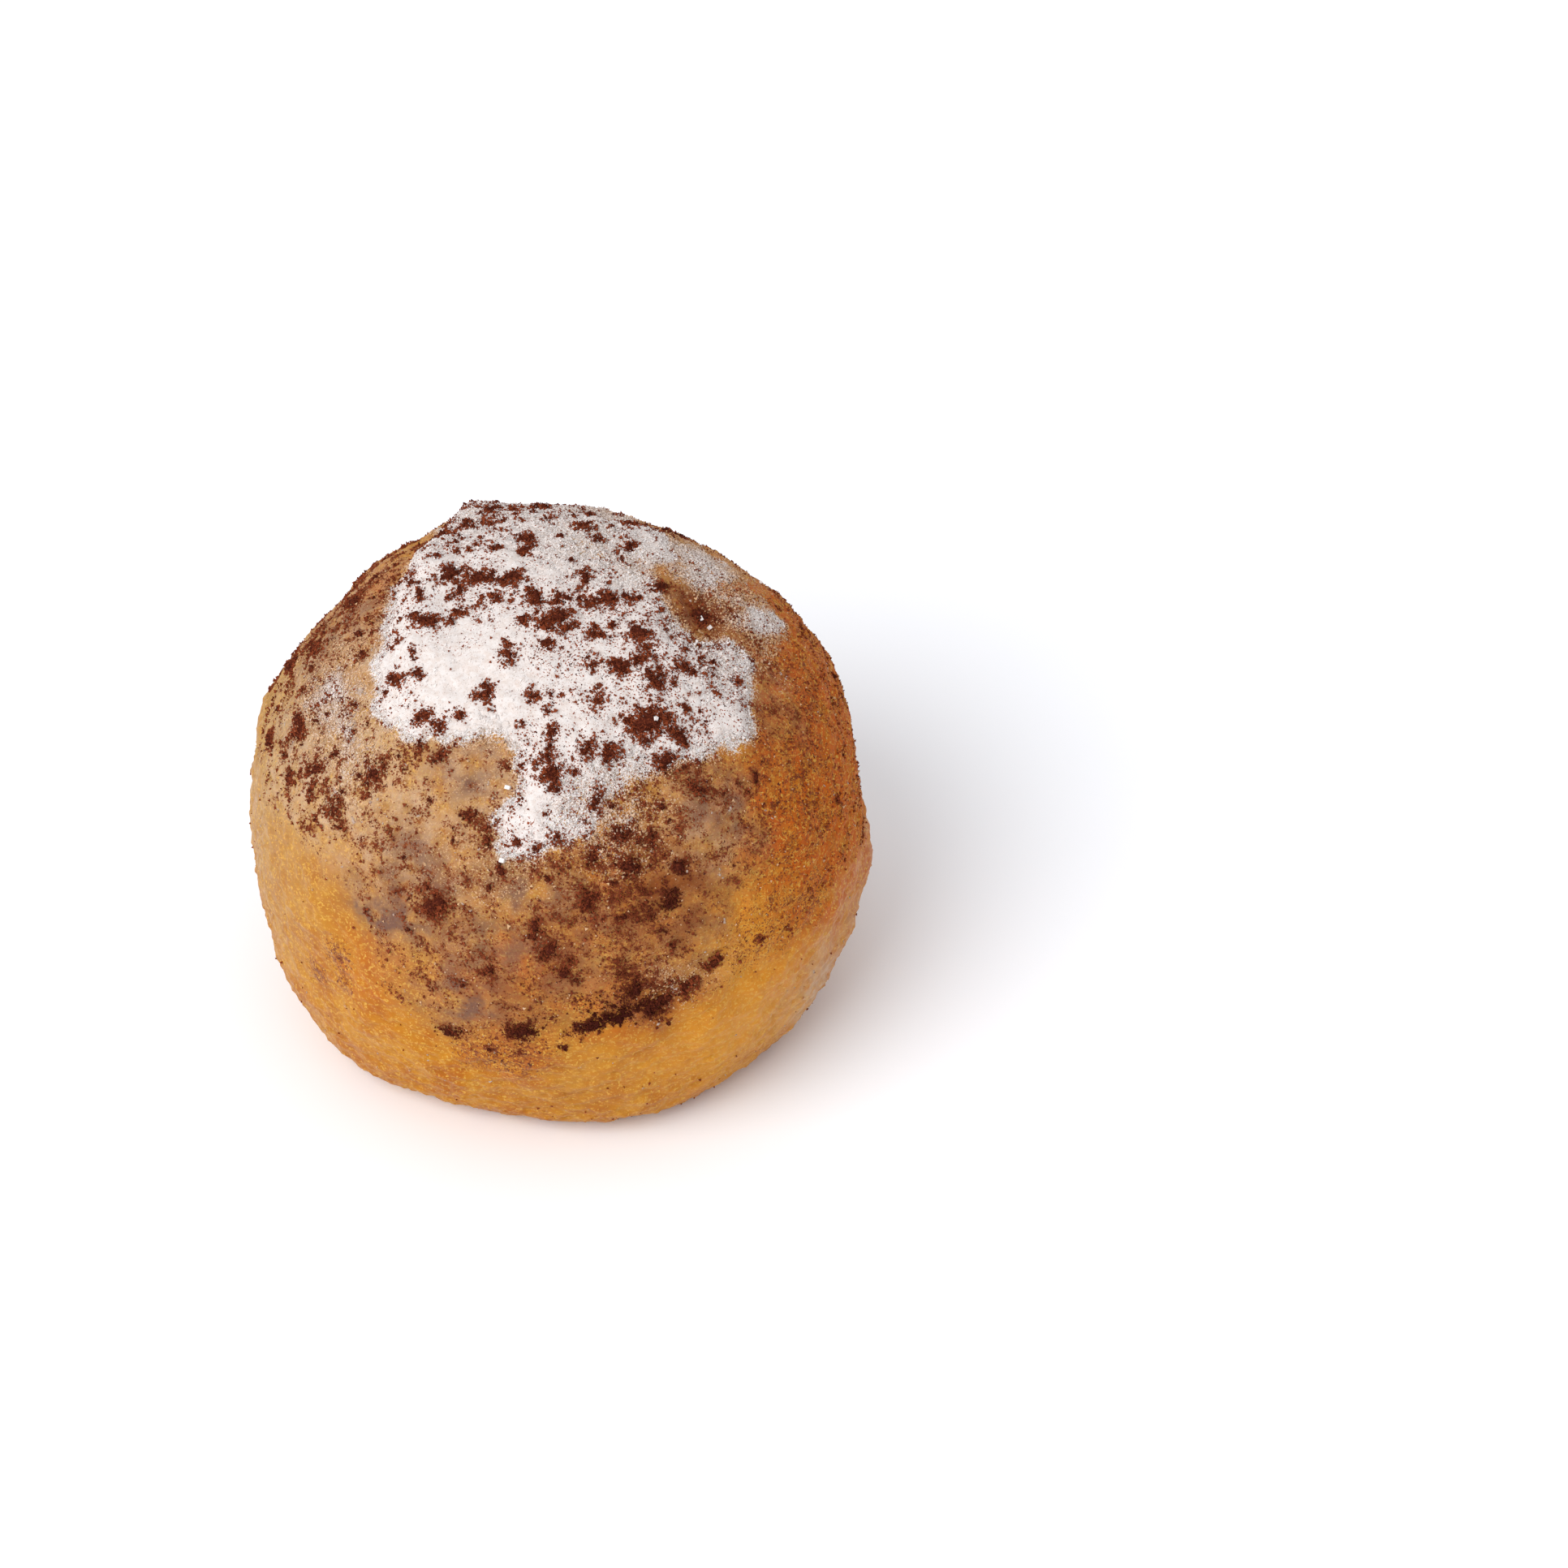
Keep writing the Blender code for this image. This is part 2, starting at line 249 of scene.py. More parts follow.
COCOA_CLOTS = clots(
    (115, 57, 2.0, 1.3, -80), (129, 62, 1.7, 1.1, -75), (137, 57, 3.2, 1.1, -85),
    (98, 55, 2.0, 1.1, -85), (74, 71, 1.9, 1.6, 0), (62, 60, 2.2, 1.2, 80), (59, 74, 1.2, 0.9, 80),
    (41, 71, 1.6, 0.8, 60), (50, 57, 1.7, 0.8, 80), (50, 51, 1.9, 1.0, 70),
    (115, 76, 2.0, 1.0, -60), (124, 80, 1.2, 0.9, 90), (143, 75, 1.0, 0.8, -50),
    (176, 70, 2.7, 1.3, 37), (-178, 76, 2.4, 1.6, -20), (-172, 82, 2.0, 1.1, 43),
    (-168, 72, 1.2, 0.9, -54), (-150, 77, 1.3, 0.7, -6), (-154, 64, 2.0, 1.1, -20),
    (-152, 70, 1.2, 0.9, -45), (-112, 82, 1.8, 1.2, -37), (-79, 82, 1.6, 0.8, 22),
    (-42, 78, 2.6, 1.1, 24), (-9, 84, 1.8, 0.7, 88), (-5, 70, 1.8, 1.0, 40),
    (-110, 75, 1.3, 1.0, 20), (-85, 76, 2.6, 1.4, 35), (-62, 72, 1.3, 1.0, 60),
    (-44, 67, 2.0, 1.7, 0), (-46, 63, 1.5, 1.0, -60), (-110, 67, 1.9, 0.9, -85),
    (-91, 70, 1.0, 0.9, 38), (-61, 62, 1.5, 1.2, 80), (-51, 58, 1.8, 1.3, 80),
    (-39, 57, 1.6, 0.7, -10), (-142, 53, 1.7, 0.9, -75), (-138, 56, 1.1, 0.7, -15),
    (-112, 58, 1.7, 0.9, 75), (-96, 59, 1.1, 0.8, -50), (-73, 58, 1.6, 0.8, -80),
    (-61, 51, 3.7, 2.3, 27), (-54, 47, 1.8, 1.2, -20), (-127, 50, 1.8, 0.8, 20),
    (-121, 50, 1.1, 0.9, -65), (-124, 45, 1.7, 0.8, -88), (-118, 45, 1.4, 0.9, 0),
    (-89, 52, 1.3, 0.8, -80), (-79, 49, 1.6, 0.9, -85), (-73, 47, 1.5, 1.3, 34),
    (-89, 45, 2.3, 2.0, -78), (-60, 43, 1.8, 1.2, 26), (-79, 40, 1.9, 0.7, 70),
    (-132, 37, 1.8, 1.0, 70), (-107, 36, 1.2, 1.0, -40), (-103, 35, 1.5, 0.8, -20),
    (-88, 34, 1.1, 0.9, 38), (-55, 37, 2.2, 1.0, -14), (-75, 33, 1.7, 1.5, 0),
    (-81, 30, 1.4, 1.0, -86), (-74, 27, 1.9, 1.2, -30), (-112, 19, 2.6, 2.0, 13),
    (-90, 13, 2.0, 1.4, 88), (-138, 28, 1.9, 1.4, -70), (-146, 27, 1.3, 0.8, -80),
    (-148, 31, 1.8, 1.0, -20), (-155, 25, 1.9, 0.9, -74), (-170, 23, 2.0, 0.9, -80),
    (176, 31, 2.6, 1.1, -60), (-161, 33, 2.2, 1.3, -60), (178, 39, 2.6, 1.1, -60),
    (168, 47, 2.8, 1.2, -60), (-109, -8, 1.9, 1.0, 5), (-96, -5, 2.0, 1.2, 0),
    (-82, -4, 2.6, 0.9, 8), (-72, -1.5, 3.3, 1.8, 14), (-78, -3, 2.6, 1.2, 12),
    (-65, 1, 1.7, 1.0, 35), (-60, 4, 1.3, 0.8, 45), (-75, 4, 1.7, 1.3, -50), (-87, 9, 1.6, 0.9, 70),
    (-92, 17, 1.5, 0.9, 80), (-82, 22, 1.6, 1.1, 60), (-68, 31, 1.6, 1.2, 80),
    (-101, 8, 1.3, 0.8, 60), (-99, 27, 1.2, 0.8, -40), (-64, 25, 1.3, 0.9, 30),
    (-8, 60, 2.3, 1.8, 30), (-66, 19, 1.4, 0.9, 60),
)

SUGAR_CRYSTALS = (
    (-99, 42), (-62, 51), (-59, 51), (-9, 60), (-12, 58), (-25, 59), (170, 71), (-119, 51),
    (-99, 29), (140, 66), (60, 66), (30, 40), (120, 40),
)


# Settings ---------------------------------------------------------------------------------------


def colour(name, description, default):
    return FloatVectorProperty(
        name=name, description=description, default=default, subtype="COLOR", min=0.0, max=1.0
    )


def length(name, description, default):
    return FloatProperty(name=name, description=description, default=default, min=0.0, unit="LENGTH")


def strength(name, description, default):
    return FloatProperty(name=name, description=description, default=default, min=0.0)


def number(name, description, default):
    return IntProperty(name=name, description=description, default=default, min=0)


class DoughSettings(bpy.types.PropertyGroup):
    golden: colour("Golden crust", "Crust low on the ball, clear of powder", (0.475, 0.192, 0.010))
    amber: colour("Amber crust", "Deeper streaks in the golden crust", (0.37, 0.110, 0.005))
    # Painted highlights: this colour makes the small glints, and the light flecks, which are partly
    # painted sheen.
    glint: colour("Light flecks", "Light flecks in the crust", (0.60, 0.325, 0.055))
    bright: colour("Bright crust", "Where the golden crust is lightest", (0.62, 0.255, 0.020))
    browned: colour("Browned crust", "Where the fat browned the crust most", (0.44, 0.086, 0.003))
    pale: colour("Pale crust", "Where the crust stayed light", (0.375, 0.203, 0.058))
    # This colour also paints shade into the crease and two shadowed places, through the soaked layer.
    stain: colour("Stained crust", "Crust that cocoa has stained", (0.22, 0.062, 0.012))
    filling: colour("Filling", "Dark filling seen through thin dough", (0.165, 0.082, 0.055))
    # This colour also paints the sheen along the rims of the outline.
    haze: colour("Powder haze", "A film of sugar too thin to be white", (0.495, 0.335, 0.212))
    wrinkle: length("Wrinkle height", "Height of the skin's wrinkles", 0.11 * MM)
    blister: length("Blister height", "Height of the small blisters", 0.07 * MM)


class SugarSettings(bpy.types.PropertyGroup):
    white: colour("Icing sugar", "The sifted sugar", (0.715, 0.66, 0.63))
    cream: colour("Moist sugar", "Loose sugar that took up some fat", (0.57, 0.350, 0.190))
    thin: colour("Thin sugar", "Sugar that lets the dough show", (0.38, 0.255, 0.18))
    depth: length("Depth", "How deep the sugar lies in the middle", 0.12 * MM)
    grains: number("Loose grains", "Loose grains, most of them at its edge", 38000)


class CocoaSettings(bpy.types.PropertyGroup):
    brown: colour("Cocoa", "The cocoa powder", (0.062, 0.0115, 0.006))
    sifted: colour("Sifted cocoa", "Fine dust of cocoa on the crust", (0.185, 0.043, 0.014))
    light: colour("Light cocoa", "Dry grains of cocoa", (0.260, 0.057, 0.021))
    # Painted shade: this darker colour stands in for the shade on the cocoa in the crease.
    moist: colour("Moist cocoa", "Cocoa that lies deep in the creases", (0.042, 0.0075, 0.005))
    depth: length("Clot height", "How high the cocoa clots stand", 0.26 * MM)
    crumbs: number("Crumbs", "Loose crumbs of cocoa", 41000)
    specks: number("Small clots", "Small clots besides the large", 900)


class StageSettings(bpy.types.PropertyGroup):
    table: colour("Table", "The plain table top", (0.970, 0.978, 0.998))
    key_power: strength("Key light", "Power of the key light", 12.5)
    sky: strength("Sky", "Strength of the white surroundings", 0.76)


# Geometry ---------------------------------------------------------------------------------------


def towards(azimuth, climb):
    """The direction from the heart of the ball."""
    turn, rise = np.radians(azimuth), np.radians(climb)
    level = np.cos(rise)
    return np.stack([np.cos(turn) * level, np.sin(turn) * level, np.sin(rise)], axis=-1)


def directions_to(points):
    away = points - HEART
    return away / np.linalg.norm(away, axis=1)[:, None]


def azimuth_and_climb(directions):
    azimuth = np.degrees(np.arctan2(directions[:, 1], directions[:, 0]))
    return azimuth, np.degrees(np.arcsin(np.clip(directions[:, 2], -1, 1)))


def patches(directions, table):
    """How strongly the table's spots cover each direction, from 0 to 1 and no more."""
    clear = np.ones(len(directions))
    for spot in table:
        away = np.degrees(np.arccos(np.clip(directions @ towards(spot.azimuth, spot.climb), -1, 1)))
        clear *= 1 - spot.strength * np.exp(-((away / spot.reach) ** 2))
    return 1 - clear


def stirred(points):
    """Directions to the points, moved about so that round patches come out uneven."""
    moves = [fractal(points, 2.8 * MM, 2, seed=20 + axis) for axis in range(3)]
    return directions_to(points + 1.7 * MM * np.stack(moves, axis=1))


def fractal(points, size, octaves=1, seed=0):
    """Perlin noise, mostly between -0.5 and 0.5, with swells of the given size."""
    scaled = points / size + 13.7 * (seed + 1)
    values = (noise.fractal(Vector(place), 0.9, 2.0, octaves) for place in scaled)
    return np.fromiter(values, float, len(scaled))


def bubbles(points, size, seed=0):
    """Round-topped cells, 1 in the middle and 0 between them."""
    scaled = points / size + 29.1 * (seed + 1)
    values = (noise.voronoi(Vector(place))[0][0] for place in scaled)
    return np.clip(1 - 1.6 * np.fromiter(values, float, len(scaled)) ** 2, 0, 1)


def ease(values, low, high):
    """A smooth step from 0 at low to 1 at high."""
    share = np.clip((values - low) / (high - low), 0, 1)
    return share * share * (3 - 2 * share)


class Skin(NamedTuple):
    """A triangulated surface with its corner normals."""

    points: np.ndarray
    normals: np.ndarray
    triangles: np.ndarray


def read_skin(piece):
    mesh = piece.data
    points = np.empty(3 * len(mesh.vertices), dtype=np.float32)
    mesh.vertices.foreach_get("co", points)
    normals = np.empty(3 * len(mesh.vertices), dtype=np.float32)
    mesh.vertex_normals.foreach_get("vector", normals)
    triangles = np.empty(len(mesh.loops), dtype=np.int32)
    mesh.loops.foreach_get("vertex_index", triangles)
    points, normals = (values.astype(float).reshape(-1, 3) for values in (points, normals))
    return Skin(points, normals, triangles.reshape(-1, 3))


def split_triangles(skin):
    """Cuts each triangle into four."""
    count = len(skin.points)
    edges = np.sort(skin.triangles[:, [[0, 1], [1, 2], [2, 0]]], axis=2).astype(np.int64)
    keys, index = np.unique(edges[..., 0] * count + edges[..., 1], return_inverse=True)
    first, second = keys // count, keys % count
    points = np.concatenate([skin.points, (skin.points[first] + skin.points[second]) / 2])
    normals = np.concatenate([skin.normals, (skin.normals[first] + skin.normals[second]) / 2])
    a, b, c = skin.triangles.T
    ab, bc, ca = index.reshape(-1, 3).T + count
    quarters = ((a, ab, ca), (ab, b, bc), (ca, bc, c), (ab, bc, ca))
    return Skin(points, normals, np.concatenate([np.stack(quarter, axis=1) for quarter in quarters]))


def keep_triangles(skin, chosen):
    """Drops the other triangles and the corners that only they used."""
    triangles = skin.triangles[chosen]
    used, index = np.unique(triangles, return_inverse=True)
    return Skin(skin.points[used], skin.normals[used], index.reshape(-1, 3))


def mesh_piece(name, points, faces, material, smooth=True):
    mesh = bpy.data.meshes.new(name)
    mesh.vertices.add(len(points))
    mesh.vertices.foreach_set("co", np.asarray(points, dtype=np.float32).ravel())
    mesh.loops.add(faces.size)
    mesh.loops.foreach_set("vertex_index", faces.astype(np.int32).ravel())
    mesh.polygons.add(len(faces))
    mesh.polygons.foreach_set("loop_start", np.arange(0, faces.size, faces.shape[1], dtype=np.int32))
    mesh.polygons.foreach_set("use_smooth", np.full(len(faces), smooth))
    mesh.update(calc_edges=True)
    mesh.validate()
    mesh.materials.append(material)
    piece = bpy.data.objects.new(name, mesh)
    bpy.context.scene.collection.objects.link(piece)
    return piece


def paint(piece, **layers):
    """Stores numbers on the corners of a mesh, for its material to read."""
    for name, values in layers.items():
        layer = piece.data.attributes.new(name, "FLOAT", "POINT")
        layer.data.foreach_set("value", np.asarray(values, dtype=np.float32))


def split_where_ragged(skin, field, levels):
    """Parts of the skin where the field is above nothing, split small only where it is near nothing."""
    parts = []
    for below, above in levels:
        corners = field(skin.points)[skin.triangles]
        inner = corners.min(axis=1) > above
        if inner.any():
            parts.append(keep_triangles(skin, inner))
        skin = split_triangles(keep_triangles(skin, ~inner & (corners.max(axis=1) > -below)))
    kept = field(skin.points)[skin.triangles].mean(axis=1) > 0
    parts.append(keep_triangles(skin, kept))
    return parts


def closed_shell(skin, heights, sink):
    """The skin raised by its heights, with walls round it and a bottom sunk under the dough."""
    top = skin.points + skin.normals * heights[:, None]
    bottom = skin.points - skin.normals * sink
    count = len(top)
    edges = skin.triangles[:, [[0, 1], [1, 2], [2, 0]]].reshape(-1, 2).astype(np.int64)
    keys = edges[:, 0] * count + edges[:, 1]
    start, end = edges[~np.isin(keys, edges[:, 1] * count + edges[:, 0])].T
    walls = ((end, start, start + count), (end, start + count, end + count))
    walls = (np.stack(wall, axis=1) for wall in walls)
    faces = np.concatenate([skin.triangles, skin.triangles[:, ::-1] + count, *walls])
    return np.concatenate([top, bottom]), faces


def powder_layer(name, skin, field, height, levels, material):
    """A closed layer of powder on the skin, wherever the field, in metres, is above nothing."""
    points, faces, count = [], [], 0
    for part in split_where_ragged(skin, field, levels):
        shell, shell_faces = closed_shell(part, np.maximum(height(part.points), THINNEST), SUNK)
        points.append(shell)
        faces.append(shell_faces + count)
        count += len(shell)
    return mesh_piece(name, np.concatenate(points), np.concatenate(faces), material)


def scatter_on(skin, weights, count, rng):
    """Random places on the skin, thick where the weights of its corners are high, none on the foot."""
    weights = weights * ease(skin.points[:, 2], *FOOT_CLEAR)
    corners = skin.points[skin.triangles]
    sides = corners[:, 1:] - corners[:, :1]
    area = np.linalg.norm(np.cross(sides[:, 0], sides[:, 1]), axis=1)
    chance = area * weights[skin.triangles].mean(axis=1)
    chosen = rng.choice(len(area), size=count, p=chance / chance.sum())
    share = rng.random((count, 2))
    share = np.where(share.sum(axis=1, keepdims=True) > 1, 1 - share, share)
    share = np.concatenate([1 - share.sum(axis=1, keepdims=True), share], axis=1)
    points = (corners[chosen] * share[..., None]).sum(axis=1)
    normals = (skin.normals[skin.triangles[chosen]] * share[..., None]).sum(axis=1)
    return points, normals / np.linalg.norm(normals, axis=1)[:, None]


def strewn_sizes(sizes, count, rng):
    return np.clip(sizes.middling * rng.lognormal(0.0, sizes.spread, count), sizes.least, sizes.most)


def struck(tree, azimuth, climb):
    """The point and the normal where a ray from the heart meets the skin."""
    point, normal, _, _ = tree.ray_cast(Vector(HEART), Vector(towards(azimuth, climb)))
    return np.array(point), np.array(normal)


def random_turns(count, rng):
    """Random rotation matrices."""
    matrices, _ = np.linalg.qr(rng.normal(size=(count, 3, 3)))
    matrices[:, :, 0] *= np.linalg.det(matrices)[:, None]
    return matrices


SHARD = np.array([[1, 1, 1], [1, -1, -1], [-1, 1, -1], [-1, -1, 1]]) * 0.62
SHARD_FACES = np.array([[0, 1, 2], [0, 3, 1], [0, 2, 3], [1, 3, 2]])
SHARD_UNEVENNESS = 0.35


def grains_mesh(name, centres, sizes, material, rng):
    """One small uneven shard at each centre, as wide as its size."""
    count = len(centres)
    shape = SHARD * (1 + SHARD_UNEVENNESS * (2 * rng.random((count, len(SHARD), 1)) - 1))
    shape = np.einsum("nij,nkj->nki", random_turns(count, rng), shape)
    points = centres[:, None, :] + shape * (sizes / 2)[:, None, None]
    faces = SHARD_FACES[None] + len(SHARD) * np.arange(count)[:, None, None]
    return mesh_piece(name, points.reshape(-1, 3), faces.reshape(-1, 3), material, smooth=False)


# Powder fields ----------------------------------------------------------------------------------


def chart(azimuth, climb):
    """A flat map round the crown, in degrees of climb lost."""
    fall = 90 - climb
    return np.stack([fall * np.cos(np.radians(azimuth)), fall * np.sin(np.radians(azimuth))], axis=-1)


def inside_outline(places, outline):
    """How far in from the outline each place lies, negative outside it."""
    corners = chart(*np.array(outline, dtype=float).T)
    nearest = np.full(len(places), np.inf)
    crossings = np.zeros(len(places), dtype=int)
    for start, end in zip(corners, np.roll(corners, -1, axis=0)):
        along = end - start
        share = np.clip((places - start) @ along / (along @ along), 0, 1)
        nearest = np.minimum(nearest, np.linalg.norm(places - start - share[:, None] * along, axis=1))
        spans = (places[:, 1] > start[1]) != (places[:, 1] > end[1])
        rise = end[1] - start[1] if end[1] != start[1] else 1.0
        reach = start[0] + (places[:, 1] - start[1]) / rise * along[0]
        crossings += spans & (places[:, 0] < reach)
    return np.where(crossings % 2 == 1, nearest, -nearest)


def sugar_cover(points, fade=1.6):
    """How much of the dough the sugar hides, from 0 to 1 and a little over.

    It fades over so many degrees outside its outline.
    """
    directions = directions_to(points)
    places = chart(*azimuth_and_climb(directions))
    wander = 1.6 * fractal(points, 1.4 * MM, 2, seed=1)
    cover = 1.25 * ease(inside_outline(places, SUGAR_OUTLINE) + wander, -fade, 2.4)
    cover -= cover * patches(directions, SUGAR_THIN)
    stray = patches(stirred(points), SUGAR_STRAY)
    return np.maximum(cover, stray)


def sugar_field(points):
    """How far in from the ragged rim of the sugar each point lies, negative outside it."""
    grainy = 0.45 * fractal(points, 0.24 * MM, 2, seed=2) + 0.40 * fractal(points, 1.1 * MM, 2, seed=3)
    return 0.8 * MM * (sugar_cover(points) + grainy - 0.52)


def dusted(points):
    """1 where powder was sifted on, 0 below its edge."""
    azimuth, climb = azimuth_and_climb(directions_to(points))
    edge = np.interp(azimuth, *np.array(DUST_EDGE, dtype=float).T)
    wander = 5 * fractal(points, 3.5 * MM, 2, seed=4)
    return ease(climb - edge + wander, -3.0, 4.0)


def cocoa_cover(points):
    """How thickly the cocoa dust lies, from 0 to 1."""
    directions = stirred(points)
    cover = 0.32 + 0.68 * patches(directions, COCOA_HEAVY)
    cover *= 1 - patches(directions, COCOA_LIGHT)
    streaks = 0.75 + 0.9 * fractal(points, 1.7 * MM, 3, seed=5)
    return np.clip(cover * streaks, 0, 1) * dusted(points)


def surface_frame(normal):
    """Two directions in the surface: level, as seen from the front, and up from it."""
    level = np.array([1.0, 0.0, 0.0])
    level -= normal * (level @ normal)
    level /= np.linalg.norm(level)
    return level, np.cross(normal, level)


class PlacedClot(NamedTuple):
    """A clot on the skin, in metres."""

    middle: np.ndarray
    along: np.ndarray
    across: np.ndarray
    half_length: float
    half_width: float
    loss: float  # how much of it has soaked into the crust


def place_clot(tree, clot):
    middle, normal = struck(tree, clot.azimuth, clot.climb)
    level, up = surface_frame(normal)
    turn = np.radians(clot.turn)
    along = np.cos(turn) * level + np.sin(turn) * up
    across = np.cos(turn) * up - np.sin(turn) * level
    loss = 0.04 * MM * (1 - ease(sugar_cover(np.array([middle]))[0], 0.2, 0.6))
    reach = 0.33 * MM  # less than half, as the ragged rim adds some
    return PlacedClot(middle, along, across, clot.length * reach, clot.width * reach, loss)


def small_clots(count, rng):
    """Clots too small to list, more of them where the cocoa lies thick."""
    skin = read_skin(piece_named("dough"))
    weights = cocoa_cover(skin.points) ** 2 * (0.25 + 0.6 * ease(sugar_cover(skin.points), 0.2, 0.7))
    weights *= 1 - 0.9 * patches(directions_to(skin.points), BROWNED)
    points, _ = scatter_on(skin, weights, count, rng)
    azimuths, climbs = azimuth_and_climb(directions_to(points))
    lengths = strewn_sizes(SMALL_CLOTS, count, rng)
    widths = lengths * rng.uniform(0.45, 0.95, count)
    turns = rng.uniform(-90, 90, count)
    return [Clot(*numbers) for numbers in zip(azimuths, climbs, lengths, widths, turns)]


def clot_field(placed):
    """The cocoa's field: how far in from the clots' ragged rims each point lies."""
    outside = -1.0 * MM

    def field(points):
        values = np.full(len(points), outside)
        for clot in placed:
            away = points - clot.middle
            near = np.flatnonzero((away**2).sum(axis=1) < (1.9 * clot.half_length) ** 2)
            along = away[near] @ clot.along / clot.half_length
            across = away[near] @ clot.across / clot.half_width
            inside = np.clip(clot.half_width, 0.32 * MM, 0.62 * MM) * (1 - np.hypot(along, across))
            values[near] = np.maximum(values[near], inside - clot.loss)
        near = values > 0.9 * outside
        ragged = 0.50 * fractal(points[near], 0.70 * MM, 2, seed=6)
        ragged += 0.60 * fractal(points[near], 0.20 * MM, 2, seed=7)
        values[near] += MM * ragged - 0.07 * MM
        return values

    return field


def halo(field, points):
    """How thickly loose dust lies round the clots, 1 at their rims."""
    return ease(field(points), *HALO) ** 2


def cocoa_clusters(points, browned):
    """Where the crumbs gather, from 0 to 1. They lie evenly on browned crust."""
    gathered = ease(fractal(points, 0.9 * MM, 2, seed=14), -0.02, 0.22)
    return gathered * (1 - browned) + 0.45 * browned


# Materials --------------------------------------------------------------------------------------


class Recipe:
    """A material's node tree, built a call at a time."""

    def __init__(self, name):
        self.material = bpy.data.materials.new(name)
        self.material.use_nodes = True
        self.tree = self.material.node_tree
        self.shader = self.tree.nodes["Principled BSDF"]
        self.place = self.tree.nodes.new("ShaderNodeTexCoord").outputs["Object"]

    def feed(self, socket, value):
        if isinstance(value, bpy.types.NodeSocket):
            self.tree.links.new(value, socket)
        else:
            socket.default_value = value

    def node(self, kind, inputs, output=0, **settings):
        node = self.tree.nodes.new(kind)
        for name, value in settings.items():
            setattr(node, name, value)
        for name, value in inputs.items():
            self.feed(node.inputs[name], value)
        return node.outputs[output]

    def painted(self, name):
        return self.node("ShaderNodeAttribute", {}, "Fac", attribute_name=name)

    def math(self, operation, first, second, clamp):
        return self.node("ShaderNodeMath", {0: first, 1: second}, operation=operation, use_clamp=clamp)

    def plus(self, first, second, clamp=False):
        return self.math("ADD", first, second, clamp)

    def times(self, first, second, clamp=False):
        return self.math("MULTIPLY", first, second, clamp)

    def stretched(self, *scale):
        return self.node("ShaderNodeMapping", {"Vector": self.place, "Scale": scale})

    def noise(self, size, detail=2.0, roughness=0.5, place=None):
        inputs = {"Vector": place or self.place, "Scale": 1 / size}
        return self.node("ShaderNodeTexNoise", {**inputs, "Detail": detail, "Roughness": roughness})

    def step(self, value, low, high):
        return self.node("ShaderNodeMapRange", {"Value": value, "From Min": low, "From Max": high})

    def mix(self, share, first, second):
        inputs = {"Factor": share, "A": first, "B": second}
        node = self.tree.nodes.new("ShaderNodeMix")
        node.data_type = "RGBA"
        for name, value in inputs.items():
            kind = "VALUE" if name == "Factor" else "RGBA"
            socket = next(s for s in node.inputs if s.name == name and s.type == kind)
            self.feed(socket, value)
        return next(s for s in node.outputs if s.type == "RGBA")

    def patchy(self, name, pattern, least):
        """A painted layer that a pattern breaks up."""
        return self.times(self.painted(name), self.plus(pattern, least), clamp=True)

    def flakes(self, grain, cover, push, edge, there):
        """Flakes cut from the grain, more of them where the cover is thick."""
        return self.times(self.step(self.plus(grain, self.times(cover, push)), *edge), there)

    def bump(self, height, distance):
        normal = self.node("ShaderNodeBump", {"Height": height, "Distance": distance, "Strength": 1.0})
        self.feed(self.shader.inputs["Normal"], normal)

    def finish(self, **sockets):
        for name, value in sockets.items():
            self.feed(self.shader.inputs[name.replace("_", " ").title().replace("Ior", "IOR")], value)
        return self.material


def opaque(values):
    return (*values, 1.0)


def fried_crust(recipe, looks):
    """Golden, pale, bright and browned crust with its light flecks, which are partly painted sheen, and
    painted glints.
    """
    mottle = recipe.step(recipe.noise(2.6 * MM, 3.0, 0.55), 0.38, 0.62)
    crust = recipe.mix(mottle, opaque(looks.golden), opaque(looks.amber))
    crust = recipe.mix(recipe.painted("pale"), crust, opaque(looks.pale))
    crust = recipe.mix(recipe.painted("bright"), crust, opaque(looks.bright))
    streaks = recipe.step(recipe.noise(1.5 * MM, 4.0, 0.65), 0.36, 0.60)
    crust = recipe.mix(recipe.patchy("browned", streaks, 0.45), crust, opaque(looks.browned))
    # Light flecks, partly painted sheen on the fine wrinkles
    flecks_and_sheen = recipe.noise(0.34 * MM, 3.0, 0.6, recipe.stretched(1.0, 1.0, 1.6))
    flecks_and_sheen = recipe.times(recipe.step(flecks_and_sheen, 0.54, 0.62), 0.52)
    crust = recipe.mix(flecks_and_sheen, crust, opaque(looks.glint))
    # Painted glints: small crisp highlights
    glints = recipe.times(recipe.step(recipe.noise(0.22 * MM, 1.0), 0.63, 0.66), 0.85)
    return recipe.mix(glints, crust, opaque(looks.glint))


def clouded_crust(recipe, crust, looks):
    """The crust with its film of sugar, the filling that shows through, and cocoa soaked in; painted
    sheen at the rims and painted shade in the crease and in two shadowed places come in with them.
    """
    cloud = recipe.step(recipe.noise(1.1 * MM, 4.0, 0.6), 0.32, 0.64)
    crust = recipe.mix(recipe.patchy("haze", cloud, 0.20), crust, opaque(looks.haze))
    shadow = recipe.step(recipe.noise(1.9 * MM, 3.0, 0.6), 0.38, 0.60)
    crust = recipe.mix(recipe.patchy("filling", shadow, 0.35), crust, opaque(looks.filling))
    # Painted shade in the crease and two shadowed places, laid on with the cocoa soaked into the crust
    return recipe.mix(recipe.patchy("soaked", shadow, 0.55), crust, opaque(looks.stain))


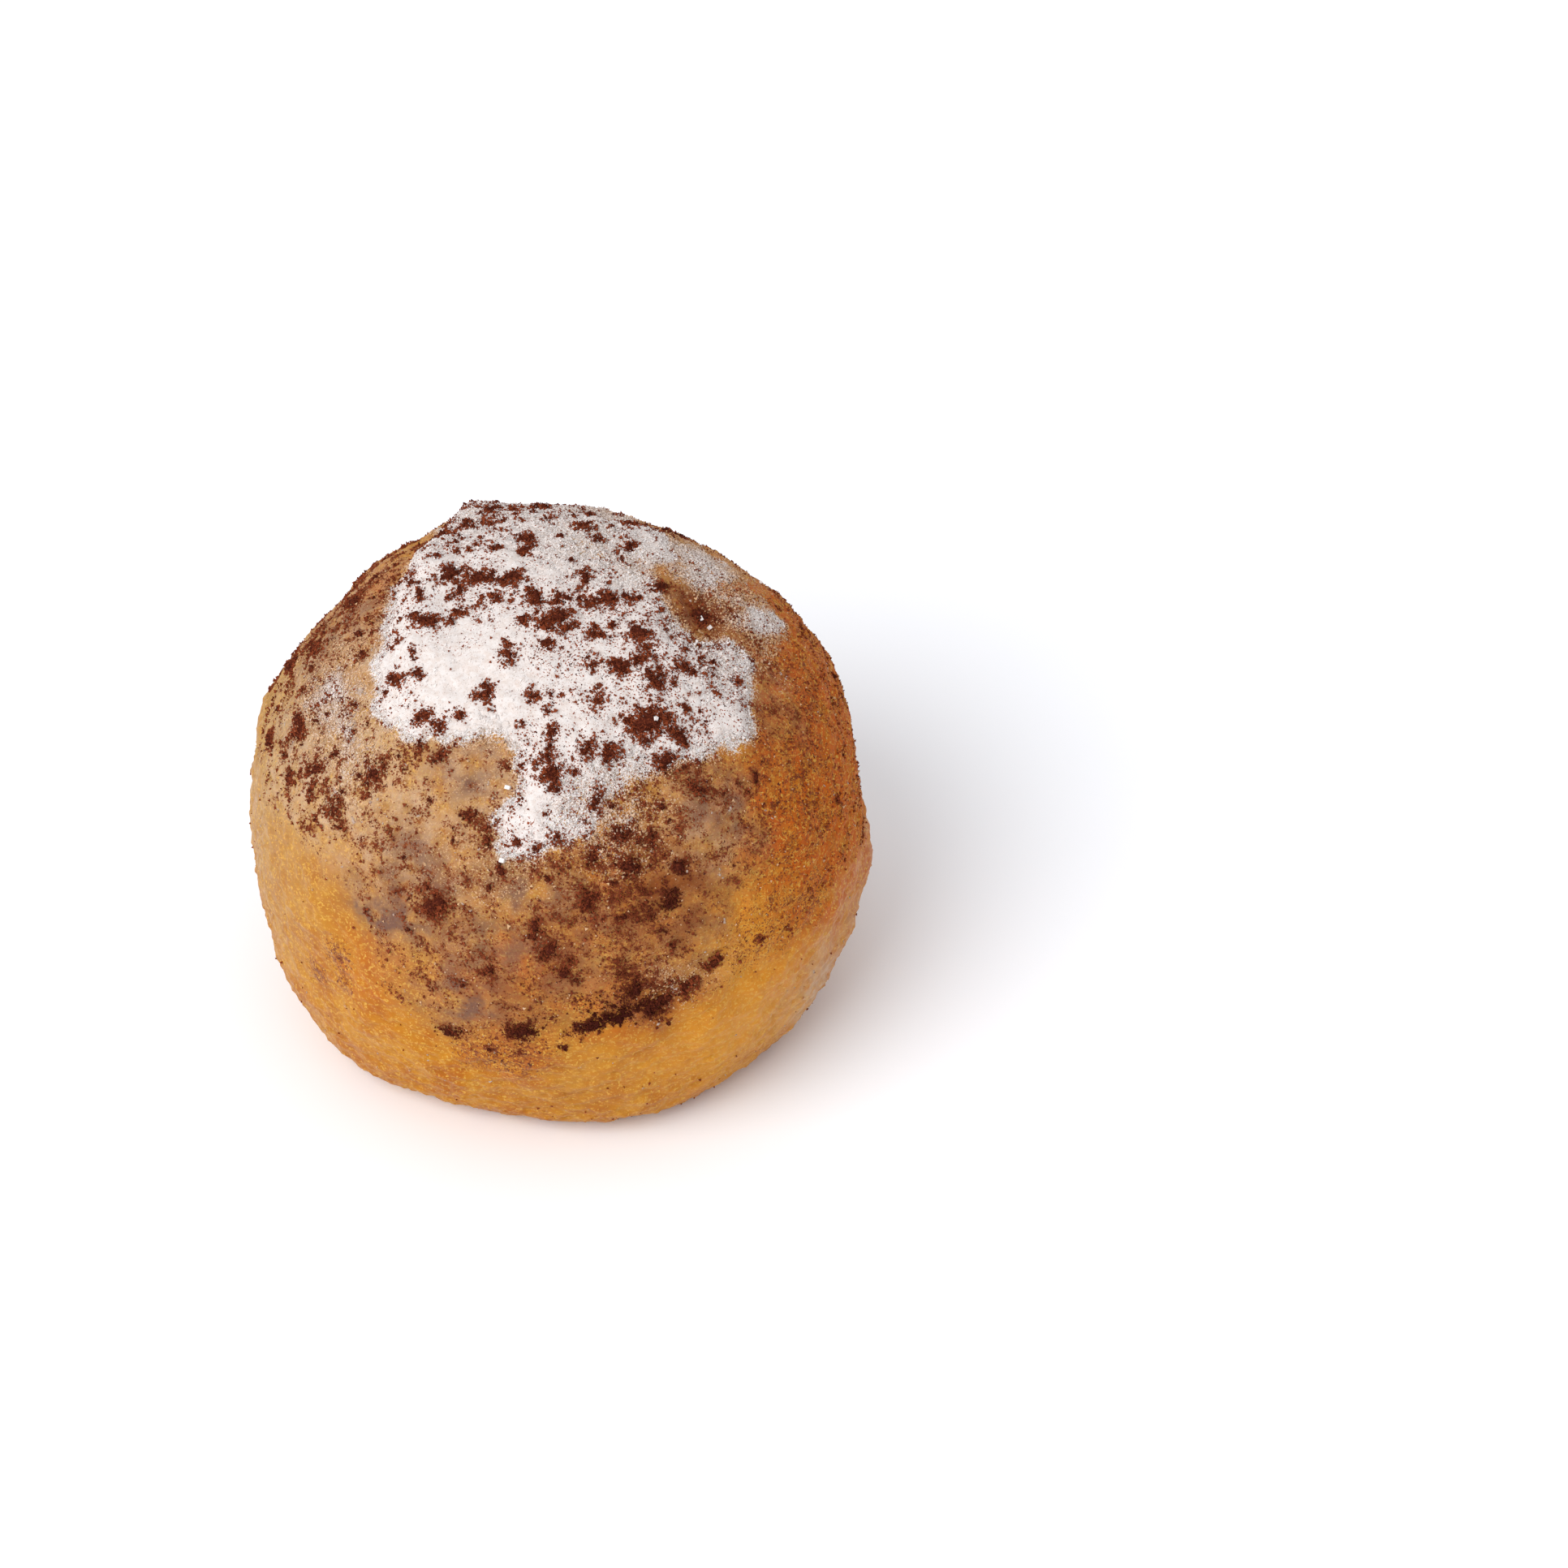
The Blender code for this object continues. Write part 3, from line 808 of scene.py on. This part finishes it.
def powdered_crust(recipe, crust, looks, sugar, cocoa):
    """The crust with sugar and cocoa too fine to be grains of their own."""
    loose = recipe.painted("sugar")
    sifted = recipe.step(loose, 0.02, 0.14)
    white = recipe.flakes(recipe.noise(0.15 * MM, 2.0, 0.6), loose, 0.30, (0.63, 0.67), sifted)
    powder = recipe.mix(recipe.step(loose, 0.15, 0.60), opaque(sugar.cream), opaque(sugar.white))
    crust = recipe.mix(white, crust, powder)
    clumps = recipe.step(recipe.noise(0.45 * MM, 3.0, 0.6), 0.40, 0.60)
    dusting = recipe.times(recipe.painted("cocoa"), recipe.plus(recipe.times(clumps, 0.7), 0.5))
    there = recipe.step(dusting, 0.02, 0.16)
    stain = recipe.flakes(recipe.noise(0.40 * MM, 4.0, 0.7), dusting, 0.17, (0.56, 0.72), there)
    crust = recipe.mix(stain, crust, opaque(looks.stain))
    clotted = recipe.flakes(recipe.noise(0.25 * MM, 3.0, 0.6), dusting, 0.13, (0.65, 0.665), there)
    dark = recipe.step(recipe.noise(0.33 * MM, 2.0), 0.42, 0.60)
    crust = recipe.mix(clotted, crust, recipe.mix(dark, opaque(cocoa.sifted), opaque(cocoa.brown)))
    dust = recipe.flakes(recipe.noise(0.14 * MM, 1.0), dusting, 0.16, (0.645, 0.665), there)
    return recipe.mix(dust, crust, opaque(cocoa.sifted))


def dough_material(looks, sugar, cocoa):
    recipe = Recipe("fried_dough")
    crust = clouded_crust(recipe, fried_crust(recipe, looks), looks)
    crust = powdered_crust(recipe, crust, looks, sugar, cocoa)
    recipe.bump(recipe.noise(0.50 * MM, 2.0, 0.5), 0.08 * MM)
    shine = recipe.plus(recipe.times(recipe.noise(0.8 * MM, 2.0), 0.35), 0.22)
    rough = recipe.plus(shine, recipe.times(recipe.painted("dusted"), 0.35), clamp=True)
    recipe.shader.inputs["Subsurface Radius"].default_value = (0.9, 0.4, 0.15)
    recipe.shader.inputs["Subsurface Scale"].default_value = 0.8 * MM
    return recipe.finish(
        base_color=crust, roughness=rough, subsurface_weight=0.2, specular_ior_level=0.13
    )


def sugar_material(looks, cocoa):
    recipe = Recipe("sifted_sugar")
    mottle = recipe.step(recipe.noise(0.45 * MM, 4.0, 0.65), 0.30, 0.58)
    shade = tuple(part * kept for part, kept in zip(looks.white, (0.88, 0.81, 0.765)))
    powder = recipe.mix(mottle, opaque(shade), opaque(looks.white))
    thin = recipe.painted("thin")
    bare = recipe.flakes(recipe.noise(0.13 * MM, 3.0, 0.65), thin, 0.40, (0.62, 0.74), 0.8)
    powder = recipe.mix(bare, powder, opaque(looks.thin))
    cover = recipe.painted("cocoa")
    there = recipe.step(cover, 0.04, 0.20)
    clotted = recipe.flakes(recipe.noise(0.25 * MM, 3.0, 0.6), cover, 0.15, (0.67, 0.685), there)
    powder = recipe.mix(clotted, powder, opaque(cocoa.brown))
    dust = recipe.flakes(recipe.noise(0.15 * MM, 1.0), cover, 0.15, (0.665, 0.685), there)
    powder = recipe.mix(dust, powder, opaque(cocoa.light))
    recipe.bump(recipe.noise(0.14 * MM, 2.0, 0.6), 0.03 * MM)
    return recipe.finish(base_color=powder, roughness=0.9, specular_ior_level=0.1)


def cocoa_material(looks):
    recipe = Recipe("cocoa_powder")
    grain = recipe.step(recipe.noise(0.17 * MM, 4.0, 0.7), 0.48, 0.76)
    grain = recipe.plus(grain, recipe.times(recipe.painted("fine"), 0.60), clamp=True)
    powder = recipe.mix(grain, opaque(looks.brown), opaque(looks.light))
    # Painted shade on the cocoa in the crease
    powder = recipe.mix(recipe.painted("moist"), powder, opaque(looks.moist))
    recipe.bump(recipe.noise(0.14 * MM, 2.0, 0.6), 0.06 * MM)
    return recipe.finish(base_color=powder, roughness=0.95, specular_ior_level=0.05)


def loose_sugar_material(looks):
    recipe = Recipe("loose_sugar")
    tint = recipe.step(recipe.noise(0.4 * MM), 0.3, 0.7)
    powder = recipe.mix(recipe.patchy("cream", tint, 0.75), opaque(looks.white), opaque(looks.cream))
    return recipe.finish(base_color=powder, roughness=0.8, specular_ior_level=0.1)


def crystal_material(looks):
    recipe = Recipe("sugar_crystal")
    tint = recipe.step(recipe.noise(0.3 * MM), 0.3, 0.7)
    clear = tuple(min(1.0, 1.18 * part) for part in looks.white)
    powder = recipe.mix(tint, opaque(looks.white), opaque(clear))
    return recipe.finish(base_color=powder, roughness=0.15, specular_ior_level=0.5)


# Pieces -----------------------------------------------------------------------------------------


def piece_named(name):
    piece = bpy.data.objects.get(name)
    if piece is None:
        raise RuntimeError(f"the {name} has to be made first")
    return piece


def smooth_solid_tree():
    """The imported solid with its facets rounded, for rays to strike."""
    copy = bpy.data.objects.new("rounded_solid", SOLID.data.copy())
    bpy.context.scene.collection.objects.link(copy)
    weld = copy.modifiers.new("weld", "WELD")
    weld.merge_threshold = 0.001 * MM
    rounding = copy.modifiers.new("rounding", "SUBSURF")
    rounding.levels = rounding.render_levels = 2
    tree = BVHTree.FromObject(copy, bpy.context.evaluated_depsgraph_get())
    bpy.data.objects.remove(copy)
    return tree


def geodesic_directions(grid):
    """Directions spread evenly round the ball, and the triangles between them."""
    ball = bmesh.new()
    bmesh.ops.create_icosphere(ball, subdivisions=1, radius=1.0)
    bmesh.ops.subdivide_edges(ball, edges=ball.edges[:], cuts=grid - 1, use_grid_fill=True)
    bmesh.ops.triangulate(ball, faces=ball.faces[:])
    directions = np.array([corner.co for corner in ball.verts])
    triangles = np.array([[corner.index for corner in face.verts] for face in ball.faces])
    ball.free()
    return directions / np.linalg.norm(directions, axis=1)[:, None], triangles


def crust_relief(points, looks):
    """How far wrinkles, which run level, and blisters stand out. The foot stays flat."""
    drawn = points * np.array([1.0, 1.0, 2.2])
    relief = looks.wrinkle * 1.6 * fractal(drawn, 1.5 * MM, 3, seed=8)
    relief += looks.wrinkle * fractal(drawn, 0.60 * MM, 2, seed=9)
    blistered = ease(fractal(points, 4 * MM, seed=10), -0.2, 0.3)
    relief += looks.blister * bubbles(points, 0.9 * MM, seed=1) * blistered
    return relief * ease(points[:, 2], *FOOT_EDGE)


def paint_dough(dough, points):
    powdered = dusted(points)
    cover = sugar_cover(points, LOOSE_FADE)
    uneven = stirred(points)
    browned = patches(uneven, BROWNED)
    milky = patches(uneven, HAZE)
    haze = 0.85 * milky * (1 - 0.55 * browned) + 0.25 * ease(cover, 0.0, 0.8)
    paint(
        dough,
        pale=np.clip(patches(uneven, PALE) + 0.25 * powdered * (1 - browned), 0, 1),
        browned=browned,
        bright=patches(uneven, BRIGHT),
        filling=patches(uneven, FILLING_SHOWS),
        # The rims of the outline get painted sheen in the haze colour
        haze=np.clip(powdered * haze + patches(uneven, RIM_SHEEN), 0, 1),
        # Cocoa soaked into the crust, and painted shade in the crease and two shadowed places
        soaked=patches(uneven, SOAKED_AND_SHADED),
        sugar=cover + powdered * (0.03 + 0.08 * milky) * (1 - 0.8 * browned),
        dusted=powdered,
    )


def make_dough(looks, sugar, cocoa):
    tree = smooth_solid_tree()
    directions, triangles = geodesic_directions(DOUGH_GRID)
    heart = Vector(HEART)
    radius = np.array([tree.ray_cast(heart, Vector(ray))[3] for ray in directions])
    points = HEART + directions * radius[:, None]
    points += directions * crust_relief(points, looks)[:, None]
    points[:, 2] = np.maximum(points[:, 2], 0.0)
    dough = mesh_piece("dough", points, triangles, dough_material(looks, sugar, cocoa))
    paint_dough(dough, points)
    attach(dough, "root")
    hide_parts("bunuelo")


def bed_height(points, depth):
    """How high the sugar bed stands, 0 where there is none."""
    values = sugar_field(points)
    grainy = 0.025 * MM * fractal(points, 0.25 * MM, 2, seed=12)
    return np.where(values > 0, depth * ease(values, *RIM) + grainy, 0.0)


def make_sugar(looks, cocoa):
    skin = read_skin(piece_named("dough"))

    def height(points):
        return bed_height(points, looks.depth)

    material = sugar_material(looks, cocoa)
    bed = powder_layer("sugar_bed", skin, sugar_field, height, BED_LEVELS, material)
    paint(bed, thin=1 - np.clip(sugar_cover(read_skin(bed).points), 0, 1))
    rng = np.random.default_rng(SEED)
    cover = sugar_cover(skin.points, LOOSE_FADE)
    browned = patches(directions_to(skin.points), BROWNED)
    loose = 0.020 * dusted(skin.points) * (1 - 0.85 * browned)
    weights = ease(cover, 0.02, 0.35) * (1 - 0.8 * ease(cover, 0.8, 1.0)) + loose + 0.0004
    centres, normals = scatter_on(skin, weights, looks.grains, rng)
    cream = 1 - ease(sugar_cover(centres, LOOSE_FADE), 0.1, 0.6)
    sizes = MM * strewn_sizes(SUGAR_GRAINS, len(centres), rng)
    lift = np.maximum(SEAT * sizes, bed_height(centres, looks.depth))
    centres = centres + normals * lift[:, None]
    grains = grains_mesh("sugar_grains", centres, sizes, loose_sugar_material(looks), rng)
    paint(grains, cream=np.repeat(cream, len(SHARD)))
    for piece in (bed, grains):
        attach(piece, "root")


def make_cocoa(looks, sugar):
    dough = piece_named("dough")
    skin = read_skin(dough)
    rng = np.random.default_rng(SEED + 1)
    tree = BVHTree.FromObject(dough, bpy.context.evaluated_depsgraph_get())
    placed = [place_clot(tree, clot) for clot in (*COCOA_CLOTS, *small_clots(looks.specks, rng))]
    field = clot_field(placed)
    material = cocoa_material(looks)

    def height(points):
        crumbly = 0.5 * fractal(points, 0.26 * MM, 2, seed=13)
        return bed_height(points, sugar.depth) + looks.depth * (ease(field(points), *RIM) + crumbly)

    clotted = powder_layer("cocoa_clots", skin, field, height, CLOT_LEVELS, material)

    # Dust on the crust and the sugar, for their materials
    dust = cocoa_cover(skin.points)
    near = halo(field, skin.points)
    stray = patches(directions_to(skin.points), COCOA_STRAY)
    clusters = cocoa_clusters(skin.points, patches(stirred(skin.points), BROWNED))
    paint(dough, cocoa=np.clip(dust * (0.20 + 1.1 * clusters) + 0.4 * near + stray, 0, 1.2))
    bed = piece_named("sugar_bed")
    points = read_skin(bed).points
    paint(bed, cocoa=np.clip(0.8 * cocoa_cover(points) + 0.9 * halo(field, points), 0, 1))

    weights = 0.40 * dust**2 * (0.12 + clusters) + 0.6 * near + 0.0005
    centres, normals = scatter_on(skin, weights, looks.crumbs, rng)
    sizes = MM * strewn_sizes(COCOA_CRUMBS, len(centres), rng)
    sizes *= 1 - 0.25 * patches(directions_to(centres), BROWNED)
    lift = SEAT * sizes + bed_height(centres, sugar.depth)
    dots = np.array([struck(tree, *place)[0] for place in PIN_DOTS])
    centres = np.concatenate([centres + normals * lift[:, None], dots])
    sizes = np.concatenate([sizes, np.full(len(dots), PIN_DOT)])
    crumbs = grains_mesh("cocoa_crumbs", centres, sizes, material, rng)
    for piece in (clotted, crumbs):
        points = read_skin(piece).points
        fine = np.full(len(points), float(piece is crumbs))
        # Painted shade on the cocoa in the crease
        paint(piece, moist=patches(directions_to(points), CREASE_SHADE), fine=fine)
        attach(piece, "root")


def make_crystals(looks):
    """Coarse crystals: small blocks with their edges cut back."""
    rng = np.random.default_rng(SEED + 2)
    tree = BVHTree.FromObject(piece_named("dough"), bpy.context.evaluated_depsgraph_get())
    crystals = bmesh.new()
    for place in SUGAR_CRYSTALS:
        middle, normal = struck(tree, *place)
        size = rng.uniform(*CRYSTAL_SIZES)
        made = bmesh.ops.create_cube(crystals, size=size)["verts"]
        turn = random_turns(1, rng)[0]
        lift = CRYSTAL_SEAT * size + bed_height(np.array([middle]), looks.depth)[0]
        for corner in made:
            corner.co = Vector(middle + normal * lift + turn @ (np.array(corner.co) * CRYSTAL_SIDES))
    bmesh.ops.bevel(
        crystals, geom=crystals.edges[:], offset=CRYSTAL_BEVEL, segments=1, affect="EDGES"
    )
    mesh = bpy.data.meshes.new("sugar_crystals")
    crystals.to_mesh(mesh)
    crystals.free()
    mesh.materials.append(crystal_material(looks))
    piece = bpy.data.objects.new("sugar_crystals", mesh)
    bpy.context.scene.collection.objects.link(piece)
    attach(piece, "root")


# Stage ------------------------------------------------------------------------------------------

CAMERA_PLACE = (0.01602, -0.24439, 0.21473)
CAMERA_CLIMB = 39  # degrees down onto the ball
FRAME_WIDTH = 36  # millimetres
LENS = 100
TABLE_HALF = 1.2
TABLE_GAP = 0.02 * MM  # so that the foot and the table don't share a plane
KEY_PLACE = (-0.62, -0.70, 0.82)
KEY_WIDTH = 1.1
SKY_COLOUR = (0.98, 0.99, 1.02, 1.0)


def make_camera():
    data = bpy.data.cameras.new("camera")
    data.lens = LENS
    data.sensor_width = FRAME_WIDTH
    data.clip_start = 0.01
    camera = bpy.data.objects.new("camera", data)
    camera.location = CAMERA_PLACE
    camera.rotation_euler = (np.radians(90 - CAMERA_CLIMB), 0, 0)
    bpy.context.scene.collection.objects.link(camera)
    bpy.context.scene.camera = camera


def table_material(looks):
    recipe = Recipe("table_top")
    faint = recipe.noise(20 * MM, 2.0)
    shade = tuple(0.985 * part for part in looks.table)
    top = recipe.mix(faint, opaque(shade), opaque(looks.table))
    return recipe.finish(base_color=top, roughness=0.8, specular_ior_level=0.1)


def make_table(looks):
    corners = np.array([[-1, -1, 0], [1, -1, 0], [1, 1, 0], [-1, 1, 0]]) * TABLE_HALF
    table = mesh_piece("table", corners, np.array([[0, 1, 2, 3]]), table_material(looks))
    table.location.z = -TABLE_GAP


def make_lights(looks):
    data = bpy.data.lights.new("key", "AREA")
    data.shape = "DISK"
    data.size = KEY_WIDTH
    data.energy = looks.key_power
    light = bpy.data.objects.new("key", data)
    light.location = KEY_PLACE
    light.rotation_euler = (Vector(HEART) - Vector(KEY_PLACE)).to_track_quat("-Z", "Y").to_euler()
    bpy.context.scene.collection.objects.link(light)
    world = bpy.data.worlds.new("white_room")
    world.use_nodes = True
    background = world.node_tree.nodes["Background"]
    background.inputs["Color"].default_value = SKY_COLOUR
    background.inputs["Strength"].default_value = looks.sky
    bpy.context.scene.world = world
    bpy.context.scene.view_settings.view_transform = "Standard"


# Add-on -----------------------------------------------------------------------------------------


class BUNUELO_OT_dough(bpy.types.Operator):
    """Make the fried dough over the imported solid"""

    bl_idname = "bunuelo.dough"
    bl_label = "Dough"

    def execute(self, context):
        scene = context.scene
        make_dough(scene.bunuelo_dough, scene.bunuelo_sugar, scene.bunuelo_cocoa)
        return {"FINISHED"}


class BUNUELO_OT_sugar(bpy.types.Operator):
    """Sift icing sugar over the crown"""

    bl_idname = "bunuelo.sugar"
    bl_label = "Icing sugar"

    def execute(self, context):
        make_sugar(context.scene.bunuelo_sugar, context.scene.bunuelo_cocoa)
        return {"FINISHED"}


class BUNUELO_OT_cocoa(bpy.types.Operator):
    """Sift cocoa over the sugar"""

    bl_idname = "bunuelo.cocoa"
    bl_label = "Cocoa"

    def execute(self, context):
        make_cocoa(context.scene.bunuelo_cocoa, context.scene.bunuelo_sugar)
        return {"FINISHED"}


class BUNUELO_OT_crystals(bpy.types.Operator):
    """Drop a few coarse sugar crystals"""

    bl_idname = "bunuelo.crystals"
    bl_label = "Sugar crystals"

    def execute(self, context):
        make_crystals(context.scene.bunuelo_sugar)
        return {"FINISHED"}


class BUNUELO_OT_stage(bpy.types.Operator):
    """Set up the table, the lights and the camera"""

    bl_idname = "bunuelo.stage"
    bl_label = "Table, lights and camera"

    def execute(self, context):
        make_table(context.scene.bunuelo_stage)
        make_lights(context.scene.bunuelo_stage)
        make_camera()
        return {"FINISHED"}


OPERATORS = (
    BUNUELO_OT_stage,
    BUNUELO_OT_dough,
    BUNUELO_OT_sugar,
    BUNUELO_OT_cocoa,
    BUNUELO_OT_crystals,
)
SETTINGS = {
    "bunuelo_dough": DoughSettings,
    "bunuelo_sugar": SugarSettings,
    "bunuelo_cocoa": CocoaSettings,
    "bunuelo_stage": StageSettings,
}


class BUNUELO_PT_panel(bpy.types.Panel):
    """Lists the pieces and their settings"""

    bl_idname = "BUNUELO_PT_panel"
    bl_label = "Bunuelo"
    bl_space_type = "VIEW_3D"
    bl_region_type = "UI"
    bl_category = "Bunuelo"

    def draw(self, context):
        for operator in OPERATORS:
            self.layout.operator(operator.bl_idname)
        for name, settings in SETTINGS.items():
            box = self.layout.box()
            for entry in settings.__annotations__:
                box.prop(getattr(context.scene, name), entry)


CLASSES = (*SETTINGS.values(), *OPERATORS, BUNUELO_PT_panel)


def register():
    for cls in CLASSES:
        bpy.utils.register_class(cls)
    for name, settings in SETTINGS.items():
        setattr(bpy.types.Scene, name, PointerProperty(type=settings))


def unregister():
    for name in SETTINGS:
        delattr(bpy.types.Scene, name)
    for cls in reversed(CLASSES):
        bpy.utils.unregister_class(cls)


def main():
    register()
    bpy.ops.bunuelo.stage()
    bpy.ops.bunuelo.dough()
    bpy.ops.bunuelo.sugar()
    bpy.ops.bunuelo.cocoa()
    bpy.ops.bunuelo.crystals()


if __name__ == "__main__":
    main()
